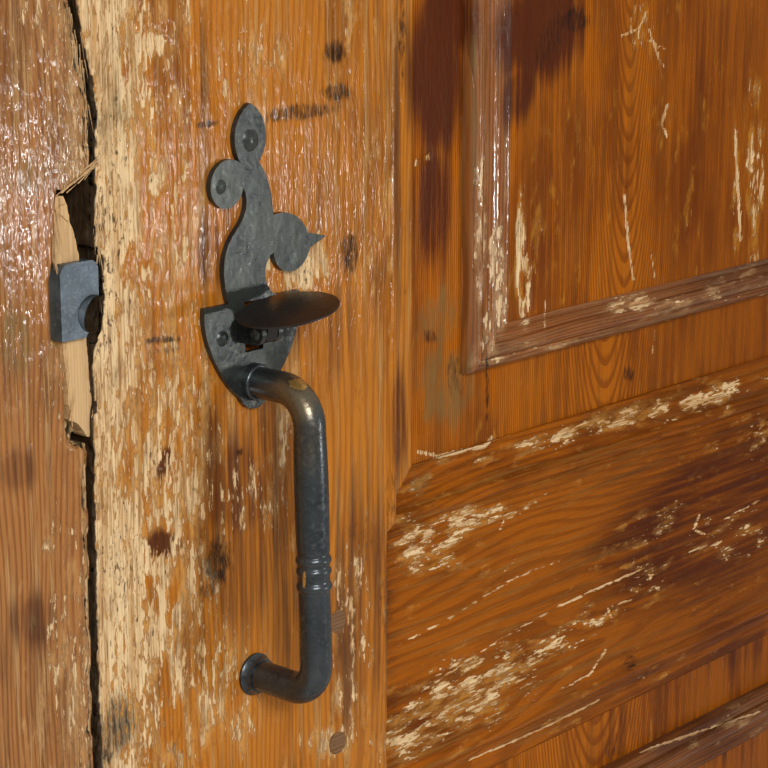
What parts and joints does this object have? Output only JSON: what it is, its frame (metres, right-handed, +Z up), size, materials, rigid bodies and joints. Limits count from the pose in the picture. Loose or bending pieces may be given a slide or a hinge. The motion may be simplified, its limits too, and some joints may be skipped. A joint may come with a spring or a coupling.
{
  "type": "arched wooden door",
  "caption": "Round-headed panelled pine door in its rebated frame, with strap hinges and a thumb latch whose scrolled plate carries a bent pull handle.",
  "frame": {"origin": "middle of the threshold's underside", "axes": "+X towards the hinge side, +Y through the door away from the face with the pull handle, +Z up"},
  "size_m": [1.256, 0.1302, 2.388],
  "materials": {
    "leaf_pine": "thick old varnish, worn and scratched",
    "frame_pine": "thick old varnish, worn and splintered",
    "oak": "worn oiled oak",
    "front_iron": "rubbed dark patina",
    "forged_iron": "forged, dark, slightly rough"
  },
  "bodies": {
    "frame": {"latch_jamb": "frame_pine", "hinge_jamb": "frame_pine", "head_left": "frame_pine", "head_right": "frame_pine", "threshold": "oak", "frame_pegs": "oak", "keeper": "forged_iron", "keeper_nails": "forged_iron", "lower_pintle": "forged_iron", "middle_pintle": "forged_iron", "upper_pintle": "forged_iron", "pintle_nails": "forged_iron"},
    "leaf": {"latch_stile": "leaf_pine", "hinge_stile": "leaf_pine", "arch_rail_left": "leaf_pine", "arch_rail_right": "leaf_pine", "lock_rail": "leaf_pine", "bottom_rail": "leaf_pine", "leaf_pegs": "oak", "upper_panel": "leaf_pine", "lower_panel": "leaf_pine", "upper_moulding_left": "leaf_pine", "upper_moulding_right": "leaf_pine", "upper_moulding_bottom": "leaf_pine", "upper_moulding_arch_left": "leaf_pine", "upper_moulding_arch_right": "leaf_pine", "lower_moulding_left": "leaf_pine", "lower_moulding_right": "leaf_pine", "lower_moulding_bottom": "leaf_pine", "lower_moulding_top": "leaf_pine", "lower_strap_hinge": "forged_iron", "middle_strap_hinge": "forged_iron", "upper_strap_hinge": "forged_iron", "strap_nails": "forged_iron", "latch_plate": "front_iron", "plate_nails": "front_iron", "pull_handle": "front_iron", "handle_rose": "front_iron", "lever_pin": "front_iron", "bar_bolt": "forged_iron", "latch_staple": "forged_iron"},
    "thumb_latch": {"thumb_lever": "front_iron"},
    "bar": {"latch_bar": "forged_iron", "bar_knob": "forged_iron"}
  },
  "joints": [
    {"name": "leaf_swing", "type": "hinge", "parent": "frame", "child": "leaf", "pos_m": [0.552, 0.039, 0.9], "axis": [0, 0, -1], "range_deg": [0, 100]},
    {"name": "thumb_press", "type": "hinge", "parent": "leaf", "child": "thumb_latch", "pos_m": [-0.434, -0.035, 1.093], "axis": [1, 0, 0], "range_deg": [0, 10]},
    {"name": "bar_lift", "type": "hinge", "parent": "leaf", "child": "bar", "pos_m": [-0.33, 0.032, 1.118], "axis": [0, 1, 0], "range_deg": [0, 6.8]}
  ],
  "couplings": [
    {"joint": "bar_lift", "follows": "thumb_press", "ratio": 0.68}
  ]
}
